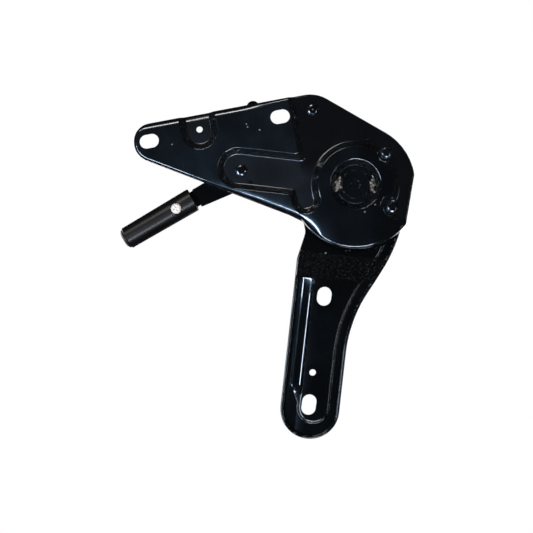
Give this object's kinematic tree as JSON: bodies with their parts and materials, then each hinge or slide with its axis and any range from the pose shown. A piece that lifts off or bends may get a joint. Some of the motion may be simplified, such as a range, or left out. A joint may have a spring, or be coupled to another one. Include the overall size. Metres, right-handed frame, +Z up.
{
  "type": "adjustable angle bracket",
  "caption": "Pressed steel angle bracket for a seat back: a slotted cover, a slotted arm that turns on a toothed sector, and a hand lever with a grip that lifts the pawl.",
  "frame": {"origin": "midway between the two mounting slots of the cover, on the mounting face", "axes": "+X along the two mounting slots towards the pivot, +Z up towards the cover's straight edge, +Y away from the viewer, square to the sheets"},
  "size_m": [0.2272, 0.0277, 0.2591],
  "materials": {
    "black_coated_sheet": "semi-gloss black dip coat over pressed steel sheet",
    "black_coated_arm": "semi-gloss black dip coat over pressed steel sheet",
    "black_coated_bar": "semi-gloss black dip coat over turned steel",
    "weld_metal": "rough weld beads, partly coated",
    "spring_steel": "dark oiled spring steel",
    "hardened_steel": "hardened steel, blanked edges",
    "zinc_plated_steel": "bright zinc plate",
    "bush_bronze": "plain bearing bronze",
    "black_moulded_grip": "black moulded plastic, satin",
    "black_moulded_cap": "black moulded plastic, satin"
  },
  "bodies": {
    "base": {"cover_plate": "black_coated_sheet", "rear_plate": "black_coated_sheet", "main_shaft": "black_coated_bar", "shaft_collar": "black_coated_bar", "shaft_welds": "weld_metal", "retaining_ring": "spring_steel", "upper_spacer": "black_coated_bar", "lower_spacer": "black_coated_bar", "stop_pin": "black_coated_bar", "pawl_pivot_pin": "black_coated_bar", "pawl_washer": "zinc_plated_steel", "lever_pivot_pin": "black_coated_bar", "lever_bush": "zinc_plated_steel", "spring_post": "black_coated_bar", "return_spring": "spring_steel", "spiral_spring": "spring_steel"},
    "arm": {"arm_plate": "black_coated_arm", "sector_gear": "hardened_steel", "gear_rivets": "hardened_steel", "arm_bushing": "bush_bronze", "spring_hook_pin": "black_coated_bar"},
    "lever": {"lever_plate": "black_coated_sheet", "lever_cam_pin": "hardened_steel", "grip": "black_moulded_grip", "grip_end_cap": "black_moulded_cap", "grip_screw": "zinc_plated_steel", "grip_nut": "zinc_plated_steel"},
    "pawl": {"pawl": "hardened_steel"}
  },
  "joints": [
    {"name": "recline", "type": "hinge", "parent": "base", "child": "arm", "pos_m": [0.0965, 0, -0.0603], "axis": [0, -1, 0], "range_deg": [0, 60], "deforming": ["spiral_spring"]},
    {"name": "lever_pull", "type": "hinge", "parent": "base", "child": "lever", "pos_m": [0.0137, 0, -0.034], "axis": [0, -1, 0], "range_deg": [0, 18], "stiffness_Nm_per_rad": 0.6, "springref_deg": -34.38, "deforming": ["return_spring"]},
    {"name": "pawl_swing", "type": "hinge", "parent": "base", "child": "pawl", "pos_m": [0.0752, 0, 0.001], "axis": [0, -1, 0], "range_deg": [-3.6, 0]}
  ],
  "couplings": [
    {"joint": "pawl_swing", "follows": "lever_pull", "ratio": -0.2}
  ]
}
